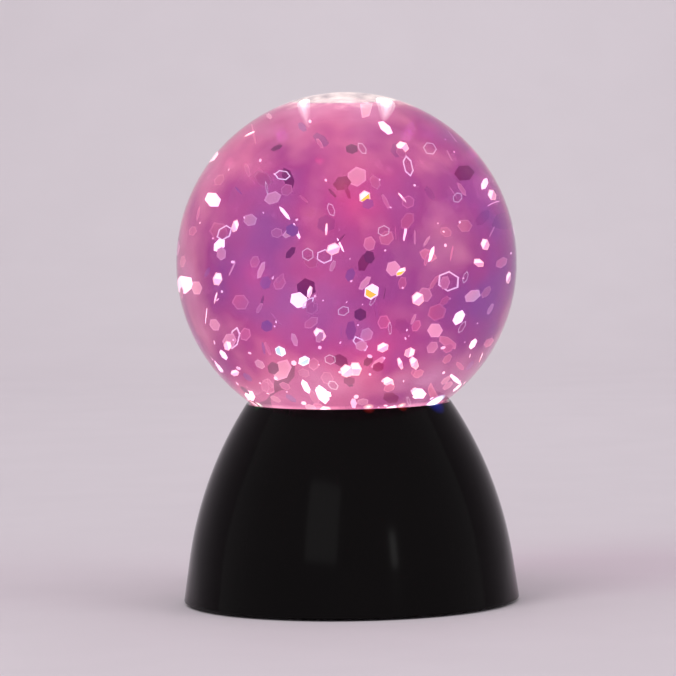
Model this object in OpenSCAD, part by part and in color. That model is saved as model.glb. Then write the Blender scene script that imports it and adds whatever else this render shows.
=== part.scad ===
// Glitter ball lamp: a clear globe of liquid and hexagonal flakes on a black
// dome-shaped base. A motor in the base turns a magnet carrier, which drags an
// impeller round inside the sealed neck of the globe and keeps the flakes swirling.
// Coloured light diodes under the globe shine up through it.
// Millimetres, +Z up, origin on the table at the middle of the base.

/* [Globe] */
// Outside diameter of the clear globe
globe_d = 100; // [90:0.5:108]
// Wall of the globe and of its neck
globe_wall = 1.6; // [1.2:0.1:2]
// Outside diameter of the globe's neck
neck_d = 34; // [33:0.5:35]
// Diameter of the collar by which the neck stands on the base's shelf
collar_d = 40; // [38:0.5:42]
// Thickness of that collar
collar_t = 1.5; // [1.2:0.1:1.8]
// Height of the air pocket over the liquid
air_pocket = 2.9; // [2:0.1:5]

/* [Base shell] */
// Diameter of the base at its lower edge
base_d = 98.8; // [90:0.2:108]
// Height of the rim above the table
base_h = 59; // [54:0.2:66]
// Outside diameter of the rim
rim_d = 60; // [56:0.2:64]
// Width of the rim's flat top, from its outside to the globe's seat
rim_lip = 1; // [0.8:0.1:1.5]
// Depth of the lip that carries the globe's seat
lip_h = 2; // [1.5:0.1:2.5]
// Slope of the straight lower wall
draft_angle = 8.4; // [7:0.1:9]
// Height at which the straight lower wall runs into the curve
bend_z = 13; // [10:0.5:15]
// Wall of the base shell
shell_wall = 2.2; // [1.8:0.1:2.6]
// Thickness of the shelf that carries the globe
shelf_t = 2; // [1.6:0.1:2.4]

/* [Base plate] */
// Thickness of the base plate and of the battery door
plate_t = 2; // [1.8:0.1:2.2]
// Diameter of a rubber foot
foot_d = 10; // [8:0.5:11]
// Thickness of a rubber foot
foot_t = 1.6; // [1.4:0.1:1.8]
// How far a foot stands out below the base
foot_lift = 0.8; // [0.6:0.1:1]

/* [Batteries] */
// Diameter of a battery cell
cell_d = 14.5; // [14:0.1:14.6]
// Length of a battery cell with its button
cell_l = 50.5; // [49:0.1:51]
// Length of a battery spring as fitted
spring_l = 5; // [4.5:0.1:6]
// Wall of the battery bay
bay_wall = 1.5; // [1.2:0.1:1.6]

/* [Switch] */
// Travel of the switch knob
switch_travel = 4; // [3:0.5:5]
// Width of the switch knob
knob_w = 3.2; // [2.6:0.1:3.6]
// Length of the switch knob along its travel
knob_l = 3.6; // [3:0.1:4]

/* [Motor] */
// Diameter of the motor can
motor_d = 24.4; // [22:0.2:25]
// Length of the motor can
motor_l = 12.4; // [11.5:0.1:12.5]
// Diameter of the motor shaft and of the impeller pin
shaft_d = 2; // [1.8:0.1:2.3]
// Thickness of the deck that carries the motor
deck_t = 1.8; // [1.5:0.1:2]
// Diameter of the magnet carrier
carrier_d = 24; // [22:0.5:26]
// Diameter of a magnet
magnet_d = 6; // [5:0.1:6.4]
// Height of a magnet
magnet_h = 2; // [1.6:0.1:2.2]

/* [Impeller] */
// Diameter of the impeller
impeller_d = 25; // [23:0.5:26]
// Height of the impeller blades
blade_h = 4.2; // [3:0.1:4.3]
// Number of impeller blades
blade_count = 6; // [4:1:8]

/* [Lights] */
// Diameter of a light diode
led_d = 5; // [4.5:0.1:5]
// Height of a light diode over its board
led_h = 8.6; // [8:0.1:9]
// Thickness of the light board
board_t = 1.6; // [1.2:0.1:1.8]

/* [Glitter] */
// Flakes that drift through the liquid
drifting_count = 240; // [150:10:250]
// Flakes that have settled round the bottom of the globe
settled_count = 70; // [30:2:80]
// Flakes that float on the liquid
floating_count = 12; // [6:1:14]
// Width of a flake across its flats
flake_w = 3; // [2:0.1:3.2]
// Thickness of a flake
flake_t = 0.12; // [0.1:0.01:0.2]

/* [Hidden] */
$fn = 96;

// Clearances
seat_gap = 0.15;      // globe to its seat in the rim
plate_gap = 0.25;     // base plate to the shell, and door to its opening
running_gap = 0.05;   // shafts in their bearings, screws in their holes
slip_gap = 0.2;       // pieces that drop into a hole
seal_gap = 0.01;      // sealing ring to its groove and to the neck
board_gap = 0.4;      // light board to the ring inside it and the bosses outside it
fill_gap = 0.15;      // liquid to the wall that holds it
spin_gap = 0.5;       // turning pieces to what stands still
over = 1;             // how far a cut runs past the face that it cuts
lap = 0.2;            // how far one piece of a solid runs into the next

// Base profile: a straight drafted wall, then an arc tangent to it that ends at the rim
base_r = base_d / 2;
edge_z = foot_lift;
bend_r = base_r - (bend_z - edge_z) * tan(draft_angle);
arc_rise = base_h - bend_z;
arc_inset = bend_r - rim_d / 2;
arc_r = (arc_inset * arc_inset + arc_rise * arc_rise)
    / (2 * (arc_inset * cos(draft_angle) - arc_rise * sin(draft_angle)));
arc_x = bend_r - arc_r * cos(draft_angle);
arc_z = bend_z - arc_r * sin(draft_angle);

// Radius of the base's wall at height z, taken inward by depth
function wall_r(z, depth) = z < bend_z - depth * sin(draft_angle)
    ? base_r - (z - edge_z) * tan(draft_angle) - depth / cos(draft_angle)
    : arc_x + sqrt(pow(arc_r - depth, 2) - pow(z - arc_z, 2));

// Base plate and battery bay
plate_z1 = edge_z + plate_t;
plate_r = wall_r(plate_z1, shell_wall) - plate_gap;
cell_gap = 0.4;
cell_pitch = cell_d + cell_gap;
cell_count = 3;
cell_z = plate_z1 + cell_gap + cell_d / 2;
cell_button_d = 5.5;
cell_button_h = 1;
contact_t = 0.4;
contact_w = 9;
contact_h = 10;
bay_w = cell_count * cell_pitch + cell_gap;
bay_l = cell_l + spring_l + 2 * contact_t;
bay_z1 = plate_z1 + cell_d + 2 * cell_gap;
post_r = 3.7;
post_h = 13;
post_inset = 0.8;
plate_screw_r = 1.5;
plate_screw_l = 9;
plate_head_r = 2.8;
plate_head_t = 1.2;
post_orbit = wall_r(plate_z1, shell_wall) - post_r - post_inset;
post_angles = [0, 90, 180, 270];
foot_inset = 1;
foot_orbit = plate_r - foot_d / 2 - foot_inset;
foot_angles = [30, 150, 210, 330];

// Levels of the drive, stacked from the battery bay up to the shelf that carries the globe
terminal_h = 1.3;
drive_gap = 0.6;
carrier_floor = 1.6;
carrier_h = magnet_h + carrier_floor;
flange_t = 1.3;
neck_stub = 0.4;
ring_t = 3;
motor_z0 = bay_z1 + bay_wall + slip_gap + terminal_h;
deck_z0 = motor_z0 + motor_l;
deck_z1 = deck_z0 + deck_t;
carrier_z0 = deck_z1 + spin_gap;
carrier_z1 = carrier_z0 + carrier_h;
flange_z0 = carrier_z1 + drive_gap;
neck_z0 = flange_z0 + flange_t;
ring_z0 = neck_z0 + neck_stub;
shelf_z0 = ring_z0 + ring_t;
shelf_z1 = shelf_z0 + shelf_t;

// Globe, seated in the rim, with its neck reaching down through the shelf
globe_r = globe_d / 2;
globe_in = globe_r - globe_wall;
rim_in = rim_d / 2 - rim_lip;
globe_z = base_h + sqrt(pow(globe_r + seat_gap, 2) - rim_in * rim_in);
liquid_top = globe_z + globe_in - air_pocket;
neck_r = neck_d / 2;
neck_in = neck_r - globe_wall;
ring_wall = 4.4;
ring_r = neck_r + ring_wall;
ring_notch_count = 8;
ring_notch = 2;
plug_h = 3.2;
plug_z1 = neck_z0 + plug_h;
groove_w = 1.6;
groove_depth = 1.3;

// Impeller in the neck
shaft_r = shaft_d / 2;
impeller_r = impeller_d / 2;
impeller_z0 = plug_z1 + spin_gap;
magnet_cover = 0.9;
impeller_disc = magnet_h + magnet_cover;
impeller_z1 = impeller_z0 + impeller_disc + blade_h;
blade_t = 1.4;
blade_bend_r = 9.4;
hub_r = 3.2;
pin_recess = 0.6;
magnet_orbit = 7.2;
magnet_angles = [0, 180];

// Motor drive under the neck
carrier_cap = 1;
motor_wall = 0.8;
motor_boss_h = 1.5;
end_cap_t = 1.6;
core_air = 1.6;
core_slot_w = 1.8;
core_hub_r = 5;
boss_r = 3.2;
boss_sink = 1.2;
screw_r = 1;
screw_head_r = 2;
screw_head_t = 1.2;
low_head_t = 0.3;
screw_tip_gap = 1;
deck_screw_l = 6;
board_screw_l = 4;
deck_orbit = wall_r(shelf_z0, shell_wall) - boss_r + boss_sink;
deck_r = deck_orbit + boss_r;
deck_angles = [90, 210, 330];
motor_screw_orbit = 8.5;
motor_screw_angles = [0, 180];
terminal_orbit = 9;
terminal_angles = [165, 195];
terminal_w = 1.6;
wire_hole_orbit = 24;
wire_hole_r = 2;
wire_notch_angles = [0, 180];

// Light board, hung under the shelf
led_r = led_d / 2;
led_flange = 0.4;
led_flange_t = 1;
led_angles = [for (i = [0 : 5]) 60 * i];
board_in = ring_r + board_gap;
board_out = deck_orbit - boss_r - board_gap;
led_orbit = (board_in + board_out) / 2;
board_boss_h = 3.4;
board_boss_r = 2.4;
board_z1 = shelf_z0 - board_boss_h;
board_z0 = board_z1 - board_t;
board_angles = [30, 150, 270];
chip_size = [5, 4, 1.5];
chip_angle = 60;

// Battery door: tabs at its -Y edge, a springy tongue at its +Y edge
door_w = bay_w - 2 * plate_gap;
door_l = bay_l - 2 * plate_gap;
door_roll = 0.6;
door_y0 = -door_l / 2;
door_axis_y = door_y0 + door_roll;
door_axis_z = edge_z + door_roll;
tab_w = 4.4;
tab_t = 1.1;
tab_reach = 2;
tab_lift = 0.15;
tab_slot_h = 4;
tongue_w = 14;
tongue_l = 9;
tongue_slit = 0.8;
grip_r = 5;
grip_depth = 0.9;

// Switch
switch_wall = 0.6;
switch_w = 6.6;
switch_l = 12.8;
switch_h = 6;
switch_x = (bay_w / 2 + bay_wall + post_orbit - post_r) / 2;
switch_z1 = plate_z1 + switch_h;
knob_base_w = switch_w - 2 * switch_wall - 2 * slip_gap;
knob_base_l = 5;
knob_base_h = 2;
knob_lift = 0.3;
knob_z0 = 0.35;

// Wires
wire_d = 1;
wire_rise = 4;
wire_bow = 2;
wire_lane = deck_r - wire_hole_r / 2;
spring_wire = 0.7;
spring_turn_count = 3;
spring_r0 = 4.6;
spring_r1 = 2.4;
spring_clear = 0.1;

// Outline and section helpers

// Everything inside the base's outer profile, taken inward by depth
module base_region(depth) {
    joint_x = bend_r - depth * cos(draft_angle);
    joint_z = bend_z - depth * sin(draft_angle);
    polygon([
        [0, edge_z],
        [wall_r(edge_z, depth), edge_z],
        [joint_x, joint_z],
        [0, joint_z]
    ]);
    intersection() {
        translate([arc_x, arc_z]) circle(r = arc_r - depth, $fn = 360);
        translate([0, joint_z]) square([base_d, base_h - joint_z]);
    }
}

// A band of the section plane from x0 outward, between two heights
module band(x0, x1, z0, z1) {
    translate([x0, z0]) square([x1 - x0, z1 - z0]);
}

module at_angles(angles, orbit) {
    for (a = angles) rotate([0, 0, a]) translate([orbit, 0, 0]) children();
}

// Pan-head screw that points up, its head under z = 0
module screw(shank_r, length, head_r, head_t) {
    recess_w = head_r * 0.35;
    recess_l = head_r * 1.3;
    difference() {
        union() {
            translate([0, 0, -lap]) cylinder(r = shank_r, h = length + lap);
            translate([0, 0, -head_t]) cylinder(r = head_r, h = head_t);
        }
        for (a = [0, 90]) rotate([0, 0, a])
            translate([-recess_l / 2, -recess_w / 2, -head_t - over])
                cube([recess_l, recess_w, over + head_t * 0.6]);
    }
}

// Blind hole that opens downward at z = 0, for a screw whose head is below the piece it holds
module pilot_hole(shank_r, length) {
    translate([0, 0, -over]) cylinder(r = shank_r + running_gap, h = length + screw_tip_gap + over);
}

// Tube of one diameter along a path, with its rings turned by a side vector at each point
module tube(path, side, d, sides) {
    n = len(path);
    function along(i) = let (step = path[min(i + 1, n - 1)] - path[max(i - 1, 0)]) step / norm(step);
    points = [
        for (i = [0 : n - 1], k = [0 : sides - 1])
            let (a = 360 * k / sides, up = cross(along(i), side[i]))
            path[i] + d / 2 * (cos(a) * side[i] + sin(a) * up)
    ];
    walls = [
        for (i = [0 : n - 2], k = [0 : sides - 1])
            let (a = i * sides + k, b = i * sides + (k + 1) % sides)
            each [[a, b, a + sides], [b, b + sides, a + sides]]
    ];
    first_end = [for (k = [1 : sides - 2]) [0, k + 1, k]];
    last = (n - 1) * sides;
    last_end = [for (k = [1 : sides - 2]) [last, last + k, last + k + 1]];
    polyhedron(points, concat(walls, first_end, last_end));
}

// Wire that stays in the plane y = 0, smoothed by cutting its corners twice
function smooth(p) = [
    p[0],
    for (i = [1 : len(p) - 2]) each [p[i] * 0.75 + p[i - 1] * 0.25, p[i] * 0.75 + p[i + 1] * 0.25],
    p[len(p) - 1]
];
module wire(route) {
    path = smooth(smooth(route));
    tube(path, [for (p = path) [0, 1, 0]], wire_d, 8);
}

// Base

module base_shell() {
    color("#0c0a0a") difference() {
        union() {
            rotate_extrude() difference() {
                union() {
                    difference() {
                        base_region(0);
                        base_region(shell_wall);
                    }
                    intersection() {
                        base_region(shell_wall / 2);
                        band(neck_r + slip_gap, base_r, shelf_z0, shelf_z1);
                    }
                    intersection() {
                        base_region(0);
                        band(neck_r, base_r, base_h - lip_h, base_h);
                    }
                }
                translate([0, globe_z]) circle(r = globe_r + seat_gap, $fn = 360);
            }
            at_angles(post_angles, post_orbit)
                translate([0, 0, plate_z1]) cylinder(r = post_r, h = post_h);
            at_angles(deck_angles, deck_orbit)
                translate([0, 0, deck_z1]) cylinder(r = boss_r, h = shelf_z0 - deck_z1 + shelf_t / 2);
            at_angles(board_angles, led_orbit)
                translate([0, 0, board_z1]) cylinder(r = board_boss_r, h = board_boss_h + shelf_t / 2);
        }
        at_angles(post_angles, post_orbit)
            translate([0, 0, plate_z1]) pilot_hole(plate_screw_r, plate_screw_l);
        at_angles(deck_angles, deck_orbit)
            translate([0, 0, deck_z1]) pilot_hole(screw_r, deck_screw_l);
        at_angles(board_angles, led_orbit)
            translate([0, 0, board_z1]) pilot_hole(screw_r, board_screw_l);
        at_angles(led_angles, led_orbit)
            translate([0, 0, shelf_z0 - over]) cylinder(r = led_r + slip_gap, h = shelf_t + 2 * over);
    }
}

module base_plate() {
    bay_out_w = bay_w + 2 * bay_wall;
    bay_out_l = bay_l + 2 * bay_wall;
    slot_l = knob_l + switch_travel + 2 * slip_gap;
    slot_w = knob_w + 2 * slip_gap;
    color("#141212") difference() {
        union() {
            translate([0, 0, edge_z]) cylinder(r = plate_r, h = plate_t);
            translate([-bay_out_w / 2, -bay_out_l / 2, plate_z1 - plate_t / 2])
                cube([bay_out_w, bay_out_l, bay_z1 + bay_wall - plate_z1 + plate_t / 2]);
        }
        translate([-bay_w / 2, -bay_l / 2, edge_z - over]) cube([bay_w, bay_l, bay_z1 - edge_z + over]);
        for (side = [-1, 1])
            translate([side * cell_pitch / 2 - tab_w / 2 - cell_gap, -bay_out_l / 2 - over, plate_z1])
                cube([tab_w + 2 * cell_gap, bay_wall + 2 * over, tab_slot_h]);
        at_angles(post_angles, post_orbit) translate([0, 0, edge_z - over]) {
            cylinder(r = plate_screw_r + slip_gap, h = plate_t + 2 * over);
            cylinder(r = plate_head_r + slip_gap, h = plate_head_t + over);
        }
        at_angles(foot_angles, foot_orbit)
            translate([0, 0, edge_z - over])
                cylinder(d = foot_d + 2 * slip_gap, h = foot_t - foot_lift + over);
        translate([switch_x - slot_w / 2, -slot_l / 2, edge_z - over])
            cube([slot_w, slot_l, plate_t + 2 * over]);
    }
}

module plate_screws() {
    color("#8b8d92") at_angles(post_angles, post_orbit)
        translate([0, 0, edge_z + plate_head_t])
            screw(plate_screw_r, plate_screw_l, plate_head_r, plate_head_t);
}

module rubber_feet() {
    color("#1d1b1b") at_angles(foot_angles, foot_orbit) cylinder(d = foot_d, h = foot_t);
}

module battery_door() {
    color("#161414") difference() {
        union() {
            translate([-door_w / 2, door_axis_y, edge_z]) cube([door_w, door_l - door_roll, plate_t]);
            translate([-door_w / 2, door_y0, door_axis_z])
                cube([door_w, door_roll * 2, plate_t - door_roll]);
            translate([-door_w / 2, door_axis_y, door_axis_z])
                rotate([0, 90, 0]) cylinder(r = door_roll, h = door_w);
            for (side = [-1, 1]) translate([side * cell_pitch / 2 - tab_w / 2, 0, 0]) {
                translate([0, door_y0 + door_roll, plate_z1 - plate_t / 2])
                    cube([tab_w, tab_reach * 2, plate_t / 2 + tab_lift + tab_t]);
                translate([0, door_y0 - plate_gap - tab_reach, plate_z1 + tab_lift])
                    cube([tab_w, tab_reach * 2 + plate_gap, tab_t]);
            }
        }
        for (side = [-1, 1])
            translate([side * tongue_w / 2 - tongue_slit / 2, -door_y0 - tongue_l, edge_z - over])
                cube([tongue_slit, tongue_l + over, plate_t + 2 * over]);
        translate([-tongue_w / 2 + tongue_slit * 2, -door_y0 - tongue_l / 2, edge_z - grip_r + grip_depth])
            rotate([0, 90, 0]) cylinder(r = grip_r, h = tongue_w - tongue_slit * 4);
    }
}

// Cells lie side by side along Y, and each next one is turned end for end
function cell_x(i) = (i - (cell_count - 1) / 2) * cell_pitch;
function cell_way(i) = i % 2 == 0 ? 1 : -1;

module battery_cells() {
    body_l = cell_l - cell_button_h;
    color("#3a6b4a") for (i = [0 : cell_count - 1])
        translate([cell_x(i), cell_way(i) * (bay_l / 2 - contact_t), cell_z])
            rotate([cell_way(i) * 90, 0, 0]) {
                cylinder(d = cell_button_d, h = cell_button_h + lap);
                translate([0, 0, cell_button_h]) cylinder(d = cell_d, h = body_l);
            }
}

module contact_plates() {
    color("#c9c6bd") for (i = [0 : cell_count - 1], end = [-1, 1])
        translate([cell_x(i), end * (bay_l / 2 - contact_t / 2), cell_z])
            cube([contact_w, contact_t, contact_h], center = true);
}

// Tapered coil that starts on the contact plate and ends on the cell
module battery_springs() {
    steps = 10;
    rise = spring_l - spring_wire - 2 * spring_clear;
    function turn(j) = 360 * j / steps;
    function radius(j) = spring_r0 + (spring_r1 - spring_r0) * j / (steps * spring_turn_count);
    path = [
        for (j = [0 : steps * spring_turn_count])
            let (r = radius(j), climb = rise * j / (steps * spring_turn_count))
            [r * cos(turn(j)), r * sin(turn(j)), spring_wire / 2 + spring_clear + climb]
    ];
    side = [for (j = [0 : steps * spring_turn_count]) [cos(turn(j)), sin(turn(j)), 0]];
    color("#b9bcc2") for (i = [0 : cell_count - 1])
        translate([cell_x(i), -cell_way(i) * (bay_l / 2 - contact_t), cell_z])
            rotate([-cell_way(i) * 90, 0, 0]) tube(path, side, spring_wire, 6);
}

// Switch

module switch_body() {
    color("#b5b7bb") difference() {
        translate([switch_x - switch_w / 2, -switch_l / 2, plate_z1]) cube([switch_w, switch_l, switch_h]);
        translate([switch_x - switch_w / 2 + switch_wall, -switch_l / 2 + switch_wall, plate_z1 - over])
            cube([switch_w - 2 * switch_wall, switch_l - 2 * switch_wall, switch_h - switch_wall + over]);
    }
}

module switch_knob() {
    base_z0 = plate_z1 + knob_lift;
    color("#1a1818") translate([switch_x, -switch_travel / 2, 0]) {
        translate([-knob_w / 2, -knob_l / 2, knob_z0])
            cube([knob_w, knob_l, base_z0 - knob_z0 + knob_base_h / 2]);
        translate([-knob_base_w / 2, -knob_base_l / 2, base_z0])
            cube([knob_base_w, knob_base_l, knob_base_h]);
    }
}

// Motor drive

module motor_deck() {
    color("#2a2828") difference() {
        translate([0, 0, deck_z0]) cylinder(r = deck_r, h = deck_t);
        translate([0, 0, deck_z0 - over]) {
            cylinder(r = boss_r + slip_gap, h = deck_t + 2 * over);
            at_angles(deck_angles, deck_orbit) cylinder(r = screw_r + slip_gap, h = deck_t + 2 * over);
            at_angles(motor_screw_angles, motor_screw_orbit)
                cylinder(r = screw_r + slip_gap, h = deck_t + 2 * over);
            at_angles(terminal_angles, wire_hole_orbit) cylinder(r = wire_hole_r, h = deck_t + 2 * over);
            at_angles(wire_notch_angles, wire_lane) cylinder(r = wire_hole_r, h = deck_t + 2 * over);
        }
    }
}

module deck_screws() {
    color("#8b8d92") at_angles(deck_angles, deck_orbit)
        translate([0, 0, deck_z0]) screw(screw_r, deck_screw_l, screw_head_r, screw_head_t);
}

module motor_can() {
    color("#a9abb0") difference() {
        union() {
            translate([0, 0, motor_z0]) cylinder(d = motor_d, h = motor_l);
            translate([0, 0, deck_z0 - lap]) cylinder(r = boss_r, h = motor_boss_h + lap);
        }
        translate([0, 0, motor_z0 - over]) {
            cylinder(d = motor_d - 2 * motor_wall, h = motor_l - motor_wall + over);
            cylinder(r = shaft_r + running_gap, h = motor_l + motor_boss_h + 2 * over);
        }
        at_angles(motor_screw_angles, motor_screw_orbit)
            translate([0, 0, deck_z0 - motor_wall - over])
                cylinder(r = screw_r + running_gap, h = motor_wall + 2 * over);
    }
}

module motor_end_cap() {
    color("#e8e4da") difference() {
        translate([0, 0, motor_z0]) cylinder(d = motor_d - 2 * motor_wall, h = end_cap_t);
        translate([0, 0, motor_z0 + end_cap_t / 2]) cylinder(r = shaft_r + running_gap, h = end_cap_t);
        at_angles(terminal_angles, terminal_orbit)
            translate([-terminal_w / 2, -terminal_w / 2, motor_z0 - over])
                cube([terminal_w, terminal_w, end_cap_t + 2 * over]);
    }
}

module motor_terminals() {
    color("#c9a24a") at_angles(terminal_angles, terminal_orbit)
        translate([-terminal_w / 2, -terminal_w / 2, motor_z0 - terminal_h])
            cube([terminal_w, terminal_w, terminal_h + end_cap_t]);
}

module motor_screws() {
    color("#8b8d92") at_angles(motor_screw_angles, motor_screw_orbit)
        translate([0, 0, deck_z1]) mirror([0, 0, 1])
            screw(screw_r, deck_t + motor_wall, screw_head_r, low_head_t);
}

module motor_shaft() {
    shaft_z0 = motor_z0 + end_cap_t / 2 + running_gap;
    color("#c4c6ca") translate([0, 0, shaft_z0])
        cylinder(r = shaft_r, h = carrier_z1 - carrier_cap - shaft_z0);
}

// Three-pole wound core of the motor, on its shaft
module motor_armature() {
    core_z0 = motor_z0 + end_cap_t + spin_gap;
    core_h = motor_l - motor_wall - end_cap_t - 2 * spin_gap;
    core_r = motor_d / 2 - motor_wall - core_air;
    color("#a35a2e") translate([0, 0, core_z0]) difference() {
        cylinder(r = core_r, h = core_h);
        translate([0, 0, -over]) {
            cylinder(r = shaft_r, h = core_h + 2 * over);
            for (a = [0, 120, 240]) rotate([0, 0, a])
                translate([core_hub_r, -core_slot_w / 2, 0]) cube([core_r, core_slot_w, core_h + 2 * over]);
        }
    }
}

module magnet_carrier() {
    color("#e4e0d6") difference() {
        translate([0, 0, carrier_z0]) cylinder(d = carrier_d, h = carrier_h);
        translate([0, 0, carrier_z0 - over]) cylinder(r = shaft_r, h = carrier_h - carrier_cap + over);
        at_angles(magnet_angles, magnet_orbit)
            translate([0, 0, carrier_z1 - magnet_h])
                cylinder(d = magnet_d + 2 * running_gap, h = magnet_h + over);
    }
}

module drive_magnets() {
    color("#9a9da3") at_angles(magnet_angles, magnet_orbit)
        translate([0, 0, carrier_z1 - magnet_h]) cylinder(d = magnet_d, h = magnet_h);
}

// Lights

module light_board() {
    color("#1f5a34") difference() {
        translate([0, 0, board_z0]) cylinder(r = board_out, h = board_t);
        translate([0, 0, board_z0 - over]) {
            cylinder(r = board_in, h = board_t + 2 * over);
            at_angles(board_angles, led_orbit) cylinder(r = screw_r + slip_gap, h = board_t + 2 * over);
        }
    }
}

module board_screws() {
    color("#8b8d92") at_angles(board_angles, led_orbit)
        translate([0, 0, board_z0]) screw(screw_r, board_screw_l, screw_head_r, screw_head_t);
}

module driver_chip() {
    color("#17171a") rotate([0, 0, chip_angle])
        translate([led_orbit - chip_size.x / 2, -chip_size.y / 2, board_z0 - chip_size.z]) cube(chip_size);
}

// Two diodes of one colour, opposite each other
module led_pair(angle) {
    at_angles([angle, angle + 180], led_orbit) translate([0, 0, board_z1]) {
        cylinder(r = led_r + led_flange, h = led_flange_t);
        cylinder(r = led_r, h = led_h - led_r);
        intersection() {
            translate([0, 0, led_h - led_r]) sphere(r = led_r);
            translate([-led_d, -led_d, led_flange_t]) cube([2 * led_d, 2 * led_d, led_h]);
        }
    }
}

module red_leds() { color("#ff3048") led_pair(-60); }
module green_leds() { color("#7fe08a") led_pair(60); }
module blue_leds() { color("#5a6cff") led_pair(0); }

// Wires

// The way from beside the battery bay, past the deck, to the light board
lane_route = [
    [switch_x + wire_bow, 0, plate_z1 + post_h + wire_bow],
    [wire_lane, 0, motor_z0 + wire_rise], [wire_lane, 0, deck_z1 + wire_bow],
    [led_orbit + wire_rise, 0, board_z0 - wire_bow],
    [led_orbit + wire_bow / 2, 0, board_z0 - wire_bow], [led_orbit + wire_bow / 2, 0, board_z0]
];
bay_side = bay_w / 2 + bay_wall;

module supply_wires() {
    color("#b3202a") {
        wire(concat([[switch_x, 0, switch_z1], [switch_x, 0, switch_z1 + wire_rise]], lane_route));
        translate([0, switch_l / 4, 0]) wire([
            [bay_side, 0, cell_z + wire_rise], [bay_side + wire_bow, 0, cell_z + wire_rise],
            [switch_x - wire_bow / 2, 0, switch_z1 + wire_rise],
            [switch_x, 0, switch_z1 + wire_bow], [switch_x, 0, switch_z1]
        ]);
    }
}

module return_wire() {
    color("#151515") rotate([0, 0, 180]) wire(concat(
        [[bay_side, 0, cell_z + wire_bow], [bay_side + wire_rise, 0, cell_z + wire_bow]], lane_route
    ));
}

module motor_wires() {
    tip_x = terminal_orbit + terminal_w / 2;
    tip_z = motor_z0 - terminal_h + wire_d / 2;
    color("#d8b23a") for (a = terminal_angles) rotate([0, 0, a]) wire([
        [wire_hole_orbit, 0, board_z0], [wire_hole_orbit, 0, deck_z1 + wire_bow],
        [wire_hole_orbit, 0, deck_z0 - wire_rise], [wire_hole_orbit - wire_rise, 0, motor_z0 + wire_bow],
        [motor_d / 2 + wire_bow, 0, tip_z], [tip_x + wire_bow / 2, 0, tip_z], [tip_x, 0, tip_z]
    ]);
}

// Globe

module globe_shell() {
    color("#f2d9ea", 0.35) rotate_extrude() difference() {
        union() {
            intersection() {
                translate([0, globe_z]) circle(r = globe_r, $fn = 360);
                band(0, globe_d, 0, globe_z + globe_d);
            }
            band(0, neck_r, neck_z0, globe_z);
            band(0, collar_d / 2, shelf_z1, shelf_z1 + collar_t);
        }
        translate([0, globe_z]) circle(r = globe_in, $fn = 360);
        band(-over, neck_in, neck_z0 - over, globe_z);
    }
}

module retaining_ring() {
    notch_angles = [for (i = [0 : ring_notch_count - 1]) 360 * i / ring_notch_count];
    color("#2a2828") difference() {
        translate([0, 0, ring_z0]) cylinder(r = ring_r, h = ring_t);
        translate([0, 0, ring_z0 - over]) {
            cylinder(r = neck_r + running_gap, h = ring_t + 2 * over);
            at_angles(notch_angles, ring_r - ring_notch / 2)
                translate([0, -ring_notch / 2, 0]) cube([ring_notch, ring_notch, ring_t + 2 * over]);
        }
    }
}

module neck_plug() {
    groove_z = neck_z0 + (plug_h - groove_w) / 2;
    plug_r = neck_in - running_gap;
    color("#efece6") rotate_extrude() difference() {
        union() {
            band(0, neck_r, flange_z0, neck_z0);
            band(0, plug_r, flange_z0, plug_z1);
        }
        band(plug_r - groove_depth, plug_r + over, groove_z, groove_z + groove_w);
        band(0, shaft_r, neck_z0, plug_z1 + over);
    }
}

module plug_seal() {
    ring_d = groove_depth + running_gap;
    color("#b8443c") translate([0, 0, neck_z0 + plug_h / 2])
        rotate_extrude() translate([neck_in - ring_d / 2 - seal_gap, 0])
            circle(d = ring_d - 2 * seal_gap, $fn = 48);
}

module impeller_pin() {
    color("#c4c6ca") translate([0, 0, neck_z0])
        cylinder(r = shaft_r, h = impeller_z1 - pin_recess - neck_z0);
}

// Outline of one swept blade: the half of a ring through the axis that leans back from the hub
module blade_outline() {
    intersection() {
        circle(r = impeller_r - lap);
        translate([blade_bend_r, 0]) difference() {
            circle(r = blade_bend_r);
            circle(r = blade_bend_r - blade_t);
            translate([-impeller_d, 0]) square([2 * impeller_d, impeller_d]);
        }
    }
}

module impeller() {
    color("#f4f1ea") difference() {
        union() {
            translate([0, 0, impeller_z0]) cylinder(r = impeller_r, h = impeller_disc);
            translate([0, 0, impeller_z0]) cylinder(r = hub_r, h = impeller_z1 - impeller_z0);
            translate([0, 0, impeller_z0 + impeller_disc - lap])
                for (i = [0 : blade_count - 1]) rotate([0, 0, 360 * i / blade_count])
                    linear_extrude(blade_h + lap) blade_outline();
        }
        translate([0, 0, impeller_z0 - over]) {
            cylinder(r = shaft_r + running_gap, h = impeller_z1 - impeller_z0 + 2 * over);
            at_angles(magnet_angles, magnet_orbit)
                cylinder(d = magnet_d + 2 * running_gap, h = magnet_h + over);
        }
    }
}

module impeller_magnets() {
    color("#9a9da3") at_angles(magnet_angles, magnet_orbit)
        translate([0, 0, impeller_z0]) cylinder(d = magnet_d, h = magnet_h);
}

// Liquid up to its level, with room for the impeller to turn
module liquid() {
    color("#d884c0", 0.3) rotate_extrude() difference() {
        intersection() {
            union() {
                translate([0, globe_z]) circle(r = globe_in - fill_gap, $fn = 360);
                band(0, neck_in - fill_gap, plug_z1 + fill_gap, globe_z);
            }
            band(0, globe_d, plug_z1 + fill_gap, liquid_top);
        }
        band(-over, impeller_r + spin_gap / 2, 0, impeller_z1 + spin_gap / 2);
    }
}

// Glitter: each flake has its place and its turn from the powers of one number,
// which spread any count of points evenly without a pattern

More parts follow.
